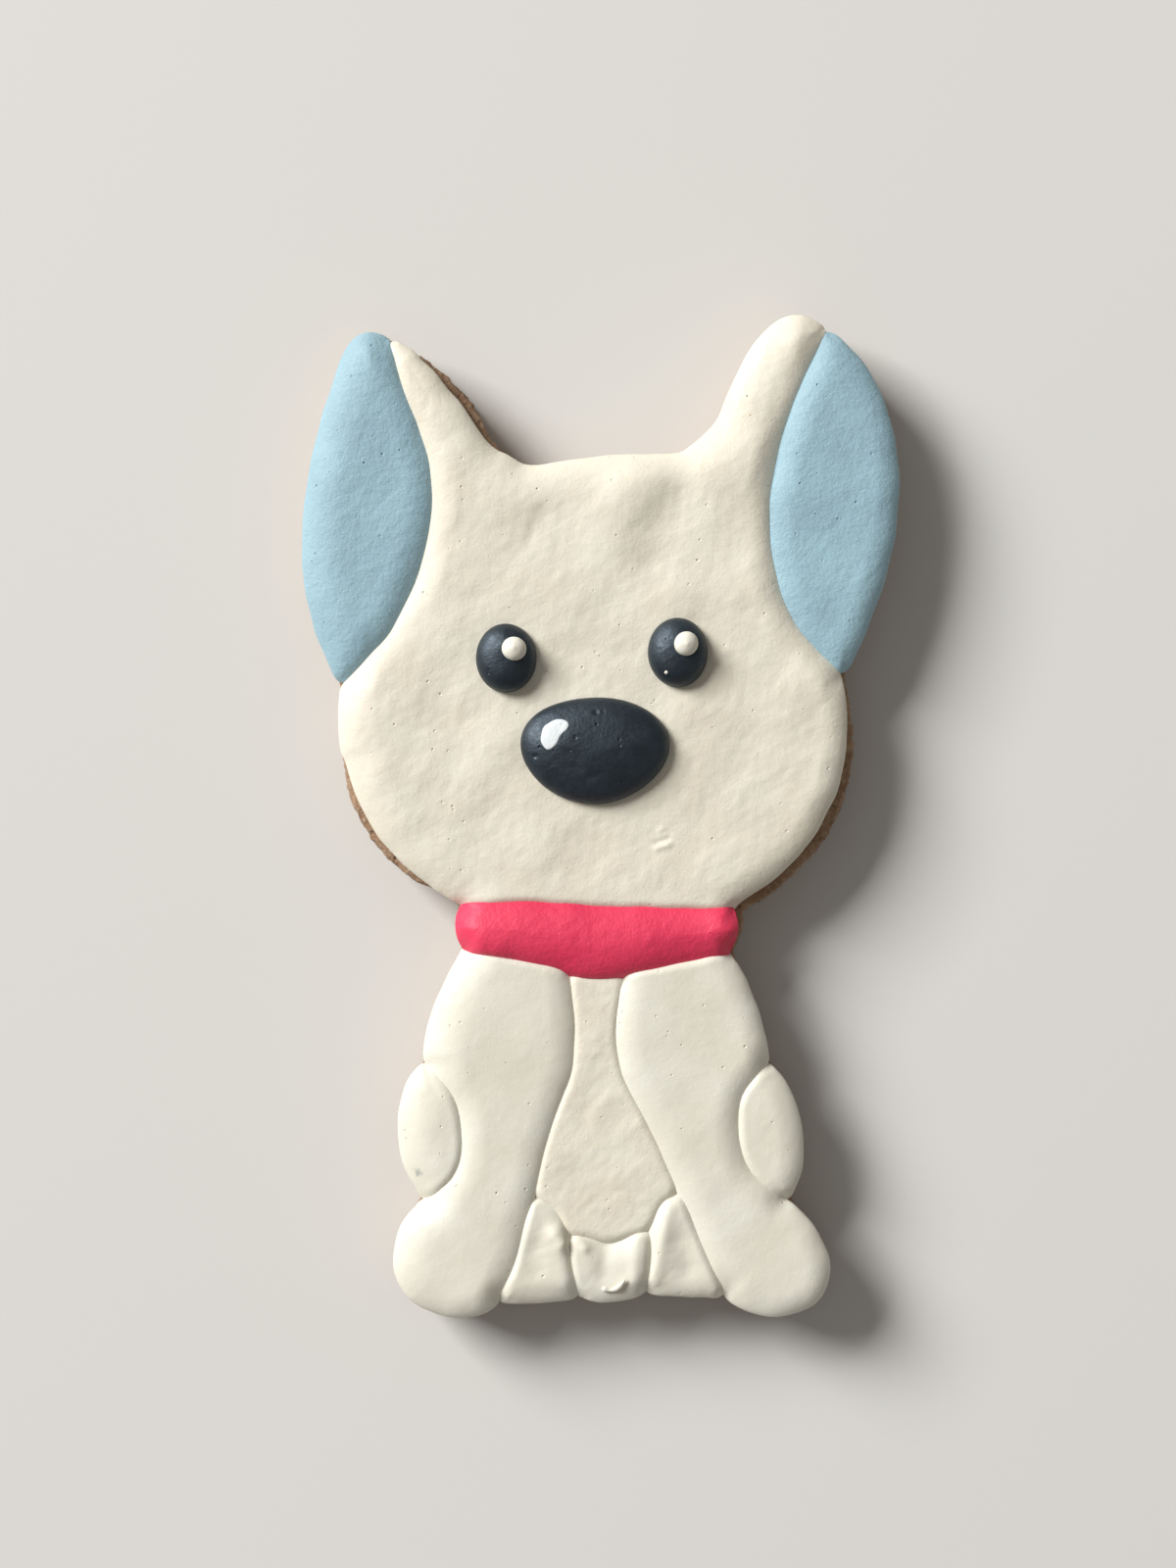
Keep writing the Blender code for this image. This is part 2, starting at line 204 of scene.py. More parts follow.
def waves(spots, size, seed, turn=0.0, stretch=1.0):
    """Smooth random relief, about -1 to 1: a sum of sine waves near one wavelength, each in its
    own direction and phase. On the flat it may be stretched along a line turned by some degrees."""
    count, shortest, longest = 28, 0.7, 1.5
    draw = np.random.default_rng(SEED + seed)
    if np.iscomplexobj(spots):
        spots = spots * np.exp(-1j * np.radians(turn))
        spots = np.stack([spots.real / stretch, spots.imag], axis=-1)
    direction = draw.normal(size=(count, spots.shape[-1]))
    length = draw.uniform(shortest, longest, (count, 1))
    direction /= np.linalg.norm(direction, axis=1)[:, None] * length
    phase = draw.uniform(0, 2 * np.pi, count)
    total = np.sin(2 * np.pi / size * spots @ direction.T + phase).sum(axis=-1)
    return total / np.sqrt(count)


def strokes(points, marks):
    """Dents and ridges: each mark is a height times a bell curve of the distance to a short line,
    given as (start, end, half width, height)."""
    total = np.zeros(len(points))
    for start, end, half_width, height in marks:
        run = end - start
        along = ((points - start) * np.conj(run)).real
        share = np.clip(along / max(abs(run), TINY) ** 2, 0, 1)
        total += height * bell(np.abs(points - start - share * run) / half_width)
    return total


def burst_bubbles(points, centres, sizes):
    """Tiny craters where bubbles burst, in shares of their radius: flat inside, with a steep wall
    out to the radius and a faint lip just outside it."""
    depth, wall_in, wall_out = 0.9, 0.35, 1.05
    lip, lip_at, lip_width = 0.1, 1.25, 0.25
    total = np.zeros(len(points))
    for centre, size in zip(centres, sizes):
        share = np.abs(points - centre) / size
        total -= depth * size * (1 - eased(share, wall_in, wall_out))
        total += lip * size * bell((share - lip_at) / lip_width)
    return total


# Meshes


def triangles(points, rim):
    """Delaunay triangles of the points, within the loop of the first rim points."""
    flat = [Vector((p.real, p.imag)) for p in points]
    inside_only = 1
    made, _, faces, *_ = delaunay_2d_cdt(flat, [], [list(range(rim))], inside_only, TINY)
    if len(made) != len(points):
        raise ValueError("the outline crosses itself")
    faces = np.array(faces)
    a, b, c = points[faces].T
    clockwise = ((b - a).conj() * (c - a)).imag < 0
    faces[clockwise] = faces[clockwise][:, ::-1]
    return faces


def in_space(points, heights):
    """Rows of x, y and z from points of the map and their heights."""
    return np.stack([points.real, points.imag, np.broadcast_to(heights, points.shape)], axis=-1)


def between(rings):
    """Quads between rings of point numbers, the first ring above the next."""
    high, low = rings[:-1], rings[1:]
    quads = np.stack([high, low, np.roll(low, -1, axis=1), np.roll(high, -1, axis=1)], axis=-1)
    return quads.reshape(-1, 4)


def mesh_of(name, spots, *faces):
    """A smooth mesh in metres from points in mm and arrays of faces."""
    mesh = bpy.data.meshes.new(name)
    mesh.from_pydata(spots * MM, [], [corners for kind in faces for corners in kind.tolist()])
    mesh.shade_smooth()
    return mesh


def closed_mesh(name, top, top_faces, wall, foot_faces, foot=np.empty((0, 3))):
    """A mesh of a top whose first points are its rim, rings of the wall from the rim down, and a
    foot inside the last ring, with points of its own or none. Every ring is as long as the rim."""
    rim, count = wall.shape[1], len(top) + wall.size // 3
    rings = np.concatenate([np.arange(rim), np.arange(len(top), count)]).reshape(-1, rim)
    under = np.concatenate([rings[-1], count + np.arange(len(foot))])
    spots = np.concatenate([top, wall.reshape(-1, 3), foot])
    return mesh_of(name, spots, top_faces, between(rings), under[foot_faces[:, ::-1]])


def ball_mesh(name, rings):
    """A mesh of rings of points in a row, each seen anticlockwise from before the first, closed by
    a fan at each end."""
    count, round_about = rings.shape[:2]
    index = np.arange(count * round_about).reshape(count, round_about)
    ahead = np.roll(index, -1, axis=1)
    tip = np.full(round_about, index.size)
    spots = np.concatenate([rings.reshape(-1, 3), rings[[0, -1]].mean(axis=1)])
    fan = np.stack([tip, index[0], ahead[0]], axis=-1)
    under = np.stack([tip + 1, ahead[-1], index[-1]], axis=-1)
    return mesh_of(name, spots, between(index), fan, under)


def show(name, mesh, finish, slot, *nodes):
    """Puts a finished piece on the part's one body, in place of its CAD solids."""
    piece = bpy.data.objects.new(name, mesh)
    bpy.context.scene.collection.objects.link(piece)
    mesh.materials.append(finish)
    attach(piece, "root")
    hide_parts(*nodes)


# Icing


def lattice(over, step, loop, clear):
    """Points of a triangular lattice over one outline's box that are farther inside a loop than a
    distance."""
    rows = np.arange(over.imag.min(), over.imag.max(), step * np.sqrt(3) / 2)
    across = np.arange(over.real.min() - step, over.real.max() + step, step)
    shift = step / 2 * (np.arange(len(rows)) % 2)
    points = (across[None] + shift[:, None] + 1j * rows[:, None]).ravel()
    return points[depth_in(loop, points) > clear]


def inner_points(outline, insets, step):
    """Points over a patch: its rim, rings that close up towards it, and a lattice in the middle.

    A ring has no points where they would come nearer to another side than to their own.
    """
    own_side, apart = 0.96, 0.6
    found = [outline]
    for inset in insets:
        ring = grown(outline, -inset)
        found.append(ring[depth_in(outline, ring) > own_side * inset])
    found.append(lattice(outline, step, outline, insets[-1] + apart * step))
    return np.concatenate(found)


def bubble_points(centre, size):
    """Rings of points round a burst bubble, each turned a little further, close enough together
    to draw its crater."""
    corners, turn, shares = 10, 0.3j, (0.4, 0.75, 1.05, 1.5)
    angle = np.exp(2j * np.pi * np.arange(corners) / corners)
    rings = [centre + size * share * angle * np.exp(turn * k) for k, share in enumerate(shares)]
    return np.concatenate([[centre], *rings])


class Side(NamedTuple):
    """How icing ends at one kind of side: it rises from its lip, a share of its full height, to
    all of it over a width in mm. Power 0.5 makes that a quarter ellipse and 1 a parabola. Grow is
    how far this side is moved out from the CAD outline. Full is the side that it turns into where
    it faces the way that the icing ran."""

    grow: float
    lip: float
    width: float
    power: float = 0.5
    full: "Side | None" = None

    def height(self, distance):
        """Share of the full height at this distance from the side."""
        left = 1 - np.clip(distance / self.width, 0, 1)
        return self.lip + (1 - self.lip) * (1 - left**2) ** self.power


# The wet icing ran a little this way over the biscuit, so its edge is fuller there: not at all up
# to the first of these cosines to that way, and all of it from the second. A span counts less, at
# this rate for each millimetre that it is farther off than the nearest one.
RAN = np.exp(-0.44j)
RAN_NONE, RAN_ALL = -0.2, 0.8
RAN_RATE = 1.2


def ran_share(points, start, end):
    """How far the spans near each point face the way that the icing ran, from 0 to 1: the mean
    cosine to that way of their outward normals, where nearer spans count more."""
    middle, run = (start + end) / 2, end - start
    cosine = (-1j * run / np.abs(run) * np.conj(RAN)).real

    def mean(block):
        distance = np.abs(block - middle)
        count = np.exp(RAN_RATE * (distance.min(axis=1, keepdims=True) - distance))
        return (count * cosine).sum(axis=1) / count.sum(axis=1)

    return eased(in_blocks(points, len(start), mean), RAN_NONE, RAN_ALL)


# Sides at the biscuit's edge, over a lower neighbour, against one piped at the same time, and
# under a neighbour that was piped later.
SHORE, OVER, SEAM, UNDER = range(4)
SIDES = [
    Side(0.42, 0.25, 4.7, 0.65, full=Side(0.42, 0.55, 2.9, 0.7)),
    Side(0.2, 0.61, 3.2, 0.68),
    Side(0.3, 0.58, 3.2, 0.8),
    Side(0.9, 0.6, 1.3, 0.95),
]
COLLAR_SIDES = [
    Side(0.42, 0.35, 2.6, 0.8, full=Side(0.42, 0.8, 1.9, 0.7)),
    Side(0.7, 0.42, 4.6, 0.65),
    SIDES[SEAM],
    SIDES[UNDER],
]

# The order in which the patches were piped. Those of one number ran together while wet.
LAYERS = {
    "chest_icing": 0,
    "tuft_icing": 1,
    "haunch_icing_left": 1,
    "haunch_icing_right": 1,
    "hind_foot_icing_left": 2,
    "hind_foot_icing_right": 2,
    "head_icing": 3,
    "ear_icing_left": 3,
    "ear_icing_right": 3,
    "foreleg_icing_left": 4,
    "foreleg_icing_right": 4,
    "collar_icing": 5,
}

# A side of a patch is alone where every other patch is farther off than this. It is then at the
# biscuit's edge, or under a neighbour where it is farther in from that edge than this.
ALONE = 0.8
INLAND = 1.9

# The biscuit shows beside a side that is farther in from its edge than this.
BARE = 0.55
BISCUIT_EDGE = smooth(outline_of("biscuit"), step=0.5)


def kinds_of(node, loops):
    """Which kind of side each point of a patch's outline is on, by its nearest neighbour."""
    loop, layer = loops[node], LAYERS[node]
    rivals = [other for other in loops if other != node]
    away = np.stack([nearest(loop, *spans(loops[other])) for other in rivals])
    above = np.array([LAYERS[other] for other in rivals])[away.argmin(axis=0)] - layer
    kinds = np.select([above > 0, above == 0], [UNDER, SEAM], OVER)
    alone = away.min(axis=0) > ALONE
    inland = depth_in(BISCUIT_EDGE, loop) > INLAND
    kinds[alone & inland] = UNDER
    kinds[alone & ~inland] = SHORE
    return kinds


# The waves in an icing's face: wavelength, height as shares of the patch's sway and of its ripple,
# and by how many degrees and how many times they are turned and drawn out. They die out over CALM
# towards the rim, and marks over MARK_FADE.
FACE_WAVES = [
    (14.0, 1.0, 0.0, 0, 1.0),
    (6.5, 0.4, 0.0, 35, 1.6),
    (3.0, 0.0, 1.0, 35, 2.0),
    (1.4, 0.0, 0.6, 35, 1.5),
]
CALM = 3.0
MARK_FADE = 0.8

# Burst bubbles: the seed of their draws, places tried for each one, how far they stay in from the
# rim, their least and greatest radius, and how many radii round them have only their own points.
BUBBLE_SEED = 100
BUBBLE_TRIES = 12
BUBBLE_INSET = 1.2
BUBBLE_SIZES = 0.07, 0.17
BUBBLE_CLEAR = 1.9

# The rings of an icing's wall below its rim: their height as a share of the rim's, and their inset.
WALL_SHARES = np.array([0.72, 0.45, 0.2, 0.0])[:, None]
WALL_INSETS = np.array([-0.03, -0.02, 0.04, 0.12])


class Patch:
    """A puffy patch of icing over an outline. Over its foot its height is its full rise times the
    share that each kind of side leaves, with waves, strokes and burst bubbles on top."""

    def __init__(
        self, outline, foot, rise, sides, seed, sway=0.1, ripple=0.012, marks=(), bubbles=0
    ):
        self.outline, self.foot, self.rise, self.sides = outline, foot, rise, sides
        self.seed, self.sway, self.ripple, self.marks = seed, sway, ripple, marks
        draw = np.random.default_rng(SEED + BUBBLE_SEED + seed)
        count = BUBBLE_TRIES * bubbles
        across = draw.uniform(outline.real.min(), outline.real.max(), count)
        tries = across + 1j * draw.uniform(outline.imag.min(), outline.imag.max(), count)
        inner = depth_in(outline, tries) > BUBBLE_INSET
        self.centres = tries[inner][:bubbles]
        self.sizes = draw.uniform(*BUBBLE_SIZES, len(self.centres))

    def top(self, points):
        """Height of the icing's face over the table."""
        body = np.full(len(points), self.rise)
        depth = np.full(len(points), np.inf)
        for side, start, end in self.sides:
            away = nearest(points, start, end)
            share = side.height(away)
            if side.full:
                share += ran_share(points, start, end) * (side.full.height(away) - share)
            body *= share
            depth = np.minimum(depth, away)
        calm = eased(depth, 0, CALM)
        for k, (size, of_sway, of_ripple, turn, stretch) in enumerate(FACE_WAVES):
            height = of_sway * self.sway + of_ripple * self.ripple
            body += height * calm * waves(points, size, self.seed + k, turn, stretch)
        return self.foot + body + strokes(points, self.marks) * eased(depth, 0, MARK_FADE)

    def mesh(self, name, step=ICING_STEP):
        """The patch as a closed mesh, whose wall bulges a little and runs down into what it lies
        on."""
        points = inner_points(self.outline, RING_INSETS, step)
        rim = len(self.outline)
        bubbles = list(zip(self.centres, self.sizes))
        near = np.zeros(len(points), bool)
        for centre, size in bubbles:
            near |= np.abs(points - centre) < BUBBLE_CLEAR * size
        near[:rim] = False
        points = np.concatenate([points[~near], *(bubble_points(*bubble) for bubble in bubbles)])
        height = self.top(points) + burst_bubbles(points, self.centres, self.sizes)
        floor = self.foot - SINK
        levels = floor + WALL_SHARES * (height[:rim] - floor)
        rings = [grown(self.outline, -inset) for inset in WALL_INSETS]
        wall = np.stack([in_space(ring, level) for ring, level in zip(rings, levels)])
        foot = triangles(rings[-1], rim)
        return closed_mesh(name, in_space(points, height), triangles(points, rim), wall, foot)


def flood(extras):
    """The patches on the biscuit, as high as their CAD solids. Each side of an outline is moved out
    by what its kind asks for, and less where the biscuit shows beside it. The edge of the whole
    cookie shapes every patch that is near it."""
    loops = {node: smooth(outline_of(node)) for node in LAYERS}
    kinds = {node: kinds_of(node, loops) for node in LAYERS}
    sides = {node: COLLAR_SIDES if node == "collar_icing" else SIDES for node in LAYERS}
    blur, wobble, wobble_size, wobble_seed = 0.45, 0.05, 5.0, 500
    for seed, (node, loop) in enumerate(loops.items()):
        grow = np.array([side.grow for side in sides[node]])[kinds[node]]
        bare = (kinds[node] == SHORE) & (depth_in(BISCUIT_EDGE, loop) > BARE)
        grow[bare] = MEET
        hand = wobble * waves(loop, wobble_size, wobble_seed + seed)
        loops[node] = grown(loop, softened(grow, RIM_STEP, blur) + hand)
    shores = [spans(loops[node], kinds[node] == SHORE) for node in LAYERS]
    shore_start, shore_end = (np.concatenate(ends) for ends in zip(*shores))
    reach = 5
    patches = {}
    for seed, (node, loop) in enumerate(loops.items()):
        middle = loop.mean()
        near = np.abs(shore_start - middle) < np.abs(loop - middle).max() + reach
        found = [(sides[node][SHORE], shore_start[near], shore_end[near])]
        for kind in (OVER, SEAM, UNDER):
            if (kinds[node] == kind).any():
                found.append((sides[node][kind], *spans(loop, kinds[node] == kind)))
        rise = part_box(node)[1].z / MM - BISCUIT_TOP
        patches[node] = Patch(loop, BISCUIT_TOP, rise, found, 10 * seed, **extras.get(node, {}))
    return patches


# Finishes

# Noise is mostly between these two values.
MIDTONES = 0.35, 0.65


def linear(hex_colour):
    """An sRGB hex colour as linear light, by the curve of the sRGB standard."""
    channels = np.array([int(hex_colour[k : k + 2], 16) / 255 for k in (0, 2, 4)])
    light = np.where(channels > 0.04045, ((channels + 0.055) / 1.055) ** 2.4, channels / 12.92)
    return (*light, 1.0)


def add(tree, kind, links=None, **settings):
    """Adds a node with its settings. Links gives each input a plain value or another's output."""
    made = tree.nodes.new("ShaderNode" + kind)
    for name, value in settings.items():
        setattr(made, name, value)
    for socket, source in (links or {}).items():
        if isinstance(source, bpy.types.NodeSocket):
            tree.links.new(source, made.inputs[socket])
        else:
            made.inputs[socket].default_value = source
    return made


def noise(tree, place, size, detail=2.0, roughness=0.5):
    """Noise whose blotches are about so many millimetres across."""
    values = {"Vector": place, "Scale": 1 / (size * MM), "Detail": detail, "Roughness": roughness}
    return add(tree, "TexNoise", values).outputs["Fac"]


def spread(tree, value, low=0, high=1, to_low=0, to_high=1):
    """The value from low to high stretched to run from to_low to to_high, and held at its ends."""
    links = {"Value": value, "From Min": low, "From Max": high, "To Min": to_low, "To Max": to_high}
    return add(tree, "MapRange", links).outputs["Result"]


def blend(tree, share, first, second):
    """A colour between two colours."""
    return add(tree, "Mix", {0: share, 6: first, 7: second}, data_type="RGBA").outputs[2]


def fresh(name, **shader_values):
    """A new material with these values of its shader, as (material, tree, shader, coordinates)."""
    material = bpy.data.materials.new(name)
    material.use_nodes = True
    tree = material.node_tree
    shader = tree.nodes["Principled BSDF"]
    for socket, value in shader_values.items():
        shader.inputs[socket.replace("_", " ")].default_value = value
    return material, tree, shader, add(tree, "TexCoord").outputs["Object"]


def holes(tree, place, apart, inner, outer):
    """1 in small round holes at random places about so many millimetres apart, and 0 between them.
    A hole's wall runs from inner to outer, in shares of that distance from its middle."""
    links = {"Vector": place, "Scale": 1 / (apart * MM), "Randomness": 1.0}
    cells = add(tree, "TexVoronoi", links)
    return spread(tree, cells.outputs["Distance"], inner, outer, to_low=1, to_high=0)


def smudged(tree, place, colour, centre):
    """The colour with a patchy smudge of grey rubbed on round a place in metres."""
    patchy = noise(tree, place, size=0.5, detail=3.0)
    links = {0: place, 1: centre}
    away = add(tree, "VectorMath", links, operation="DISTANCE").outputs["Value"]
    reach = spread(tree, patchy, *MIDTONES, to_low=0.25 * MM, to_high=0.95 * MM)
    rubbed = spread(tree, away, high=reach, to_low=0.75, to_high=0)
    return blend(tree, rubbed, colour, linear("8B918F"))


def relief(tree, shader, *layers):
    """Stacks bumps on the shader's normal: each layer is (height from 0 to 1, its depth in mm)."""
    normal = None
    for height, depth in layers:
        links = {"Height": height, "Distance": depth * MM, "Strength": 1.0}
        if normal:
            links["Normal"] = normal
        normal = add(tree, "Bump", links).outputs["Normal"]
    tree.links.new(normal, shader.inputs["Normal"])


def royal_icing(
    name, colour, shade, roughness,
    grain=0.02, scatter=0.12, gloss=0.4, sheen="FFFFFF", mottle=8.0, smudge=None,
):
    """Royal icing: sugar beaten with egg white, flooded on wet and dried in air. It dries to a
    satin shell with a fine sugar grain and pinprick bubbles, and light goes a little way into it.
    Grain is the depth of its relief and mottle the size of its blotches, in mm, and sheen is the
    colour that its gloss gives to light. The pinprick holes are painted a little darker, as painted
    shade in them. Grey may be smudged on it at a place in metres."""
    material, tree, shader, place = fresh(
        name,
        Subsurface_Weight=scatter,
        Subsurface_Scale=0.9 * MM,
        Subsurface_Radius=(1.0, 0.8, 0.6),
        Specular_IOR_Level=gloss,
        Specular_Tint=linear(sheen),
    )
    blotches = noise(tree, place, size=mottle, detail=3.0)
    tint = blend(tree, spread(tree, blotches, *MIDTONES), linear(shade), linear(colour))
    pinpricks = holes(tree, place, apart=2.4, inner=0.035, outer=0.075)
    # Painted shade: the pinprick holes are mixed a quarter of the way towards the shade colour, as
    # shadow would lie in them.
    colour_with_pit_shade = blend(tree, spread(tree, pinpricks, to_high=0.25), tint, linear(shade))
    if smudge:
        colour_with_pit_shade = smudged(tree, place, colour_with_pit_shade, smudge)
    tree.links.new(colour_with_pit_shade, shader.inputs["Base Color"])
    satin = noise(tree, place, size=0.9, detail=3.0)
    duller, glossier = roughness + 0.08, roughness - 0.06
    spots = spread(tree, satin, low=0.3, high=0.7, to_low=glossier, to_high=duller)
    tree.links.new(spots, shader.inputs["Roughness"])
    skin = noise(tree, place, size=1.1, detail=2.0)
    sugar = noise(tree, place, size=0.4, detail=4.0, roughness=0.7)
    solid = spread(tree, pinpricks, to_low=1, to_high=0)
    pinprick_depth = 0.06
    relief(tree, shader, (skin, 2.0 * grain), (sugar, 1.9 * grain), (solid, pinprick_depth))
    return material


def baked_dough(name):
    """Rolled sugar dough, cut and baked: dry, matt and crumbly on the cut side, with flour-pale
    crumbs and open pores painted dark as painted shade, and browned from below, where it lay on the
    tray."""
    material, tree, shader, place = fresh(name, Specular_IOR_Level=0.25, Roughness=0.9)
    blotches = noise(tree, place, size=3.5, detail=5.0, roughness=0.6)
    crumbs = noise(tree, place, size=0.6, detail=4.0, roughness=0.7)
    pores = holes(tree, place, apart=1.6, inner=0.08, outer=0.22)
    crumb = blend(tree, spread(tree, blotches, *MIDTONES), linear("8F7058"), linear("AF9075"))
    flour = spread(tree, crumbs, low=0.48, high=0.7, to_high=0.6)
    floury = blend(tree, flour, crumb, linear("CEB9A0"))
    height = add(tree, "SeparateXYZ", {"Vector": place}).outputs["Z"]
    brown = spread(tree, height, high=1.6 * MM, to_low=0.5, to_high=0)
    toasted = blend(tree, brown, floury, linear("7D5A40"))
    # Painted shade: the pores are mixed towards dark brown, as shadow would lie in them.
    crumb_with_pore_shade = blend(tree, spread(tree, pores, to_high=0.35), toasted, linear("5F4736"))
    tree.links.new(crumb_with_pore_shade, shader.inputs["Base Color"])
    solid = spread(tree, pores, to_low=1, to_high=0)
    relief(tree, shader, (blotches, 0.5), (crumbs, 0.3), (solid, 0.2))
    return material


def plain_paint(name, colour, roughness):
    """Matt emulsion on the table: no pattern, as the floor isn't part of the object."""
    settings = {"Base_Color": linear(colour), "Roughness": roughness, "Specular_IOR_Level": 0.2}
    return fresh(name, **settings)[0]


# Where the white icing is smudged, on the left haunch.
SMUDGE = (-20.6 * MM, -40.2 * MM, 8.2 * MM)

IVORY = royal_icing("ivory_royal_icing", "ECE6D6", "E5DDCB", 0.5, grain=0.026)
WHITE = royal_icing("white_royal_icing", "EAE7DA", "E3DECE", 0.5, grain=0.016, smudge=SMUDGE)
BLUE = royal_icing("blue_royal_icing", "A2C3CF", "98B7C4", 0.52, grain=0.05)
CRIMSON = royal_icing("crimson_royal_icing", "EE4263", "E0375A", 0.45, grain=0.044, scatter=0.06)
CHARCOAL = royal_icing(
    "charcoal_royal_icing", "1A232B", "11181E", 0.48,
    grain=0.032, scatter=0.0, gloss=0.82, sheen="DCEEFF", mottle=2.2,
)
BRIGHT = royal_icing("bright_white_royal_icing", "F1EFE3", "E6E1D3", 0.5)
COOL_WHITE = royal_icing("cool_white_royal_icing", "E3E7E8", "D9DEE0", 0.5, grain=0.03)
DOUGH = baked_dough("baked_sugar_dough")


# The cookie's pieces

# The biscuit's rounded brims, from its faces outwards: the inset of each ring, and how far it is
# under the top or over the foot. The top's brim is narrower, by this share.
BRIM_INSETS = np.array([1.1, 0.62, 0.34, 0.14, 0.03])
BRIM_DROPS = np.array([0.0, 0.02, 0.1, 0.25, 0.5])
TOP_BRIM = 0.6

# Its side: rings, how far they stay from the top and the foot, and how far it swells.
SIDE_RINGS = 20
SIDE_MARGIN = 0.75
SWELL = 0.12

# The side's crumbs: waves and creases, each as (height, wavelength, seed), the number of open
# pores, their least and greatest radius and their depth as a share of it, and the most that a
# crumb stands out.
CRUMB_WAVES = [(0.1, 6.0, 1), (0.09, 2.2, 2), (0.06, 0.8, 5)]
CREASES = (0.14, 1.2, 3)
PORES = 190
PORE_SIZES = 0.2, 0.5
PORE_DEPTH = 0.8
CRUMB_LIMIT = 0.12


def crumbling(spots, outline):
    """How far the biscuit's cut side stands out at each point: waves of three sizes, less the
    creases between crumbs and the pores that the cutter opened at random places."""
    rough = sum(height * waves(spots, size, seed) for height, size, seed in CRUMB_WAVES)
    height, size, seed = CREASES
    rough -= height * np.abs(waves(spots, size, seed))
    draw = np.random.default_rng(SEED)
    for _ in range(PORES):
        at = draw.integers(len(outline))
        level = draw.uniform(0.4, BISCUIT_TOP - 0.3)
        size = draw.uniform(*PORE_SIZES)
        centre = np.array([outline[at].real, outline[at].imag, level])
        rough -= PORE_DEPTH * size * bell(np.linalg.norm(spots - centre, axis=-1) / size)
    return np.minimum(rough, CRUMB_LIMIT)


def bake_biscuit():
    """The slab: its outline carried down a side that swells at mid height and crumbles along its
    normal, less so towards the top and not at the foot, between a flat top and a pitted foot."""
    blur, shrunk, swell_turn = 0.35, 0.05, 1.2 * np.pi
    outline = grown(smooth(outline_of("biscuit"), width=blur), -shrunk)
    rim = len(outline)
    sides = np.linspace(SIDE_MARGIN, BISCUIT_TOP - SIDE_MARGIN, SIDE_RINGS)
    heights = np.concatenate([BISCUIT_TOP - BRIM_DROPS, sides[::-1], BRIM_DROPS[::-1]])
    swell = SWELL * np.cos(swell_turn * (sides / BISCUIT_TOP - 0.5))
    insets = np.concatenate([TOP_BRIM * BRIM_INSETS, SWELL - swell[::-1], BRIM_INSETS[::-1]])
    spots = np.stack([in_space(grown(outline, -i), z) for i, z in zip(insets, heights)])
    foot_fade, top_fade, top_loss = 0.6, 0.5, 0.5
    on_side = eased(heights, 0, foot_fade)
    on_side *= 1 - top_loss * eased(heights, BISCUIT_TOP - top_fade, BISCUIT_TOP)
    ahead = np.roll(outline, -1) - np.roll(outline, 1)
    outwards = -1j * ahead / np.abs(ahead)
    push = crumbling(spots, outline) * on_side[:, None]
    spots += in_space(outwards, 0.0)[None] * push[..., None]

    first, last = (ring[:, 0] + 1j * ring[:, 1] for ring in (spots[0], spots[-1]))
    top = np.concatenate([first, lattice(outline, BISCUIT_STEP, first, clear=0.6)])
    dent, dent_fade = 0.1, 0.8
    dents = dent * eased(depth_in(first, top), 0, dent_fade) * np.abs(waves(top, size=2.5, seed=4))
    foot = np.concatenate([last, lattice(outline, FOOT_STEP, last, clear=0.4)])
    pit, pit_from, grain, pit_fade = 0.25, 0.8, 0.04, 0.5
    pits = pit * np.maximum(np.abs(waves(foot, size=2.4, seed=6)) - pit_from, 0)
    pits += grain * np.abs(waves(foot, size=1.6, seed=7))
    pits *= eased(depth_in(last, foot), 0, pit_fade)
    mesh = closed_mesh(
        "biscuit_slab",
        in_space(top, BISCUIT_TOP - dents),
        triangles(top, rim),
        spots[1:],
        triangles(foot, rim),
        in_space(foot, pits)[rim:],
    )
    show("biscuit_slab", mesh, DOUGH, "baked_dough", "biscuit")


# Marks in the patches' faces, as strokes takes them: dents where the icing sank, ridges where it
# was drawn along or ran together, and the pits of the nose, from its middle.
HEAD_MARKS = [
    (5.5 + 29.0j, 9.0 + 36.0j, 2.6, -0.4),
    (1.0 + 31.0j, 4.5 + 37.5j, 3.0, 0.2),
    (-14.0 + 4.0j, -9.0 + 9.0j, 2.2, 0.1),
    (-13.0 + 0.0j, -8.0 + 5.0j, 1.8, -0.1),
    (-8.0 + 31.0j, -6.5 + 34.0j, 0.9, -0.1),
    (6.3 - 3.6j, 7.6 - 3.2j, 0.35, 0.16),
    (6.3 - 3.0j, 7.6 - 2.6j, 0.28, -0.16),
    (6.6 - 1.6j, 7.0 - 1.4j, 0.25, 0.1),
]
CHEST_MARKS = [
    (-0.5 - 34.5j, 0.7 - 31.5j, 0.9, 0.1),
    (2.0 - 36.0j, 4.5 - 34.5j, 0.6, 0.06),
    (-2.5 - 40.0j, 0.0 - 42.5j, 1.6, -0.15),
]
TUFT_MARKS = [
    (4.3 - 46.8j, 3.9 - 52.0j, 1.1, 0.45),
    (-2.2 - 47.6j, -1.8 - 48.4j, 0.7, 0.3),
    (0.6 - 48.6j, 0.4 - 51.5j, 1.3, -0.35),
]
LEFT_FOOT_MARKS = [
    (-4.9 - 47.0j, -4.2 - 47.8j, 1.1, 0.6),
    (-4.3 - 48.5j, -3.7 - 52.0j, 1.0, 0.25),
    (-7.5 - 49.0j, -7.0 - 51.0j, 1.6, -0.25),
]
RIGHT_FOOT_MARKS = [
    (7.6 - 44.0j, 5.9 - 52.0j, 0.9, 0.3),
    (9.3 - 48.0j, 9.8 - 50.5j, 1.7, -0.35),
]
COLLAR_MARKS = [
    (-9.0 - 15.2j, 3.0 - 15.2j, 5.0, 0.36),
    (-13.2 - 14.8j, -11.8 - 15.2j, 1.8, 0.4),
    (13.2 - 11.6j, 13.6 - 12.8j, 2.0, 0.35),
]
